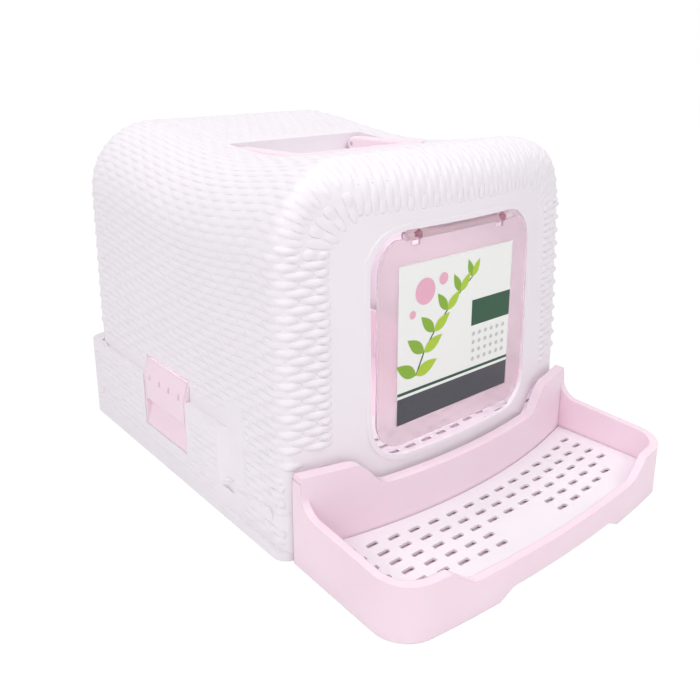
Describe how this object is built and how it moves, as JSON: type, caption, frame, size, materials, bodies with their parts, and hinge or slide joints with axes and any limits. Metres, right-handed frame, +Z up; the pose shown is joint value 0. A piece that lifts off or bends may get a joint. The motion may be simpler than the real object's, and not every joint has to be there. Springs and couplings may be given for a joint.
{
  "type": "covered litter box",
  "caption": "Covered cat litter box: woven-look hood with a swinging clear flap, side latches and a folding carry handle, over a base and a pull-out drawer with a grated porch.",
  "frame": {"origin": "centre of the footprint, on the floor", "axes": "+X to the right as seen from the front, -Y out of the front, where the porch and flap are, +Z up"},
  "size_m": [0.406, 0.586, 0.3657],
  "materials": {
    "white_plastic": "satin moulded polypropylene",
    "pink_plastic": "satin moulded polypropylene",
    "clear_plastic": "clear moulded sheet",
    "printed_card": "coated printed card",
    "pin_steel": "plain wire"
  },
  "bodies": {
    "base": {"base_floor": "pink_plastic"},
    "hood": {"hood_shell": "white_plastic", "snap_studs": "white_plastic", "latch_housing_left": "pink_plastic", "latch_housing_right": "pink_plastic", "latch_pin_left": "pin_steel", "latch_pin_right": "pin_steel", "handle_pin_left": "pin_steel", "handle_pin_right": "pin_steel", "flap_bracket_left": "clear_plastic", "flap_bracket_right": "clear_plastic", "flap_rod": "clear_plastic"},
    "drawer_body": {"drawer": "pink_plastic"},
    "porch_grate": {"front_grate": "white_plastic"},
    "step_grate": {"inner_grate": "white_plastic"},
    "flap": {"door_flap": "clear_plastic", "door_card": "printed_card"},
    "handle": {"carry_handle": "pink_plastic"},
    "latch_left": {"latch_lever_left": "pink_plastic"},
    "latch_right": {"latch_lever_right": "pink_plastic"}
  },
  "joints": [
    {"name": "hood_lift", "type": "slide", "parent": "base", "child": "hood", "axis": [0, 0, 1], "range_m": [0, 0.15]},
    {"name": "drawer_slide", "type": "slide", "parent": "base", "child": "drawer_body", "axis": [0, -1, 0], "range_m": [0, 0.4]},
    {"name": "front_grate_lift", "type": "slide", "parent": "drawer_body", "child": "porch_grate", "axis": [0, 0, 1], "range_m": [0, 0.06]},
    {"name": "inner_grate_lift", "type": "slide", "parent": "drawer_body", "child": "step_grate", "axis": [0, 0, 1], "range_m": [0, 0.03]},
    {"name": "flap_swing", "type": "hinge", "parent": "hood", "child": "flap", "pos_m": [0, -0.148, 0.289], "axis": [1, 0, 0], "range_deg": [-70, 70]},
    {"name": "handle_fold", "type": "hinge", "parent": "hood", "child": "handle", "pos_m": [0, 0.098, 0.33702], "axis": [-1, 0, 0], "range_deg": [0, 90]},
    {"name": "latch_right_swing", "type": "hinge", "parent": "hood", "child": "latch_right", "pos_m": [0.192, 0.088, 0.1125], "axis": [0, -1, 0], "range_deg": [0, 35]},
    {"name": "latch_left_swing", "type": "hinge", "parent": "hood", "child": "latch_left", "pos_m": [-0.192, 0.088, 0.1125], "axis": [0, 1, 0], "range_deg": [0, 35]}
  ]
}
